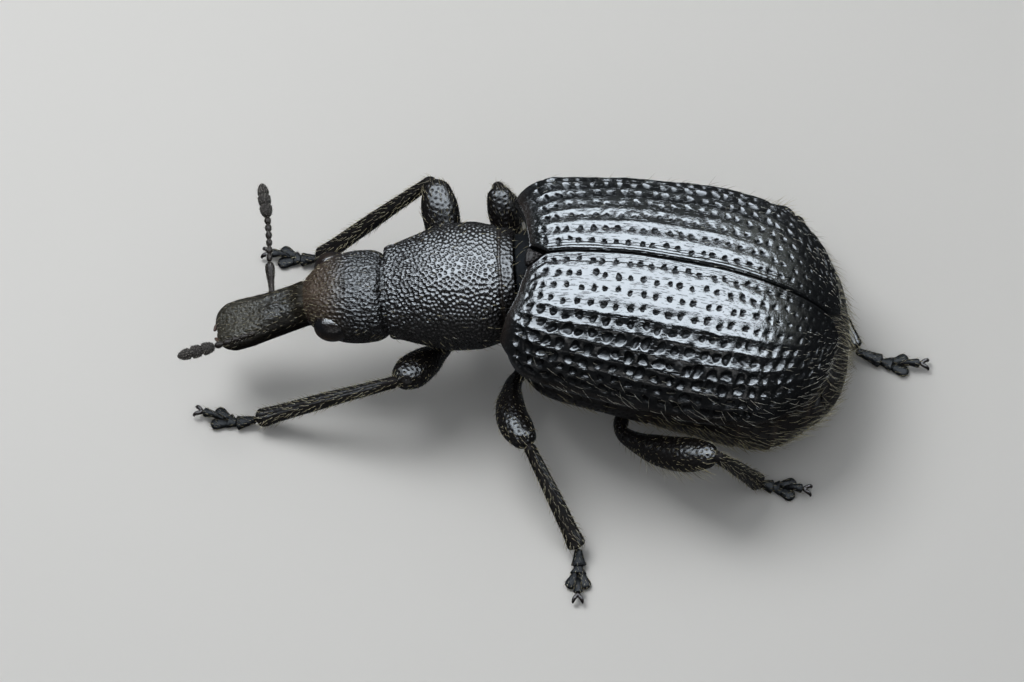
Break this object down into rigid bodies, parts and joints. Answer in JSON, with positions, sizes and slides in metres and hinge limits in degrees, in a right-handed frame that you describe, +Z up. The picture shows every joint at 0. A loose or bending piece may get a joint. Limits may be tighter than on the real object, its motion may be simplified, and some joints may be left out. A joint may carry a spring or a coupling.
{
  "type": "birch leaf-rolling weevil",
  "caption": "Still, life-size model of a small glossy black weevil standing on its legs, with a broad flat snout, clubbed feelers, a rounded pronotum and deeply pitted, furrowed wing cases.",
  "frame": {"origin": "centre of the bounding box at floor level", "axes": "-X towards the head, -Y towards the animal's left side, +Z up"},
  "size_m": [0.0054, 0.0034, 0.0017],
  "materials": {
    "wing_case": "glossy black punctured wing case",
    "body_shell": "satin black body shell, finely pitted",
    "head_shell": "glossy black head shell",
    "rostrum_shell": "dull brownish black",
    "eye_lens": "smooth glossy black eye",
    "antenna_shell": "dull dark brown",
    "club_felt": "felted grey brown",
    "leg_shell": "satin black leg shell",
    "claw_horn": "dark reddish brown horn"
  },
  "bodies": {
    "root": {"abdomen": "body_shell", "antenna_club_left": "club_felt", "antenna_club_right": "club_felt", "antenna_funicle_left": "antenna_shell", "antenna_funicle_right": "antenna_shell", "antenna_scape_left": "antenna_shell", "antenna_scape_right": "antenna_shell", "claws_fore_left": "claw_horn", "claws_fore_right": "claw_horn", "claws_hind_left": "claw_horn", "claws_hind_right": "claw_horn", "claws_mid_left": "claw_horn", "claws_mid_right": "claw_horn", "coxa_fore_left": "leg_shell", "coxa_fore_right": "leg_shell", "coxa_hind_left": "leg_shell", "coxa_hind_right": "leg_shell", "coxa_mid_left": "leg_shell", "coxa_mid_right": "leg_shell", "elytron_left": "wing_case", "elytron_right": "wing_case", "eye_left": "eye_lens", "eye_right": "eye_lens", "femur_fore_left": "leg_shell", "femur_fore_right": "leg_shell", "femur_hind_left": "leg_shell", "femur_hind_right": "leg_shell", "femur_mid_left": "leg_shell", "femur_mid_right": "leg_shell", "head": "head_shell", "mandible_left": "claw_horn", "mandible_right": "claw_horn", "prothorax": "body_shell", "pygidium": "body_shell", "rostrum": "rostrum_shell", "scutellum": "wing_case", "tarsus_fore_left": "leg_shell", "tarsus_fore_right": "leg_shell", "tarsus_hind_left": "leg_shell", "tarsus_hind_right": "leg_shell", "tarsus_mid_left": "leg_shell", "tarsus_mid_right": "leg_shell", "thorax_underside": "body_shell", "tibia_fore_left": "leg_shell", "tibia_fore_right": "leg_shell", "tibia_hind_left": "leg_shell", "tibia_hind_right": "leg_shell", "tibia_mid_left": "leg_shell", "tibia_mid_right": "leg_shell"}
  },
  "joints": []
}
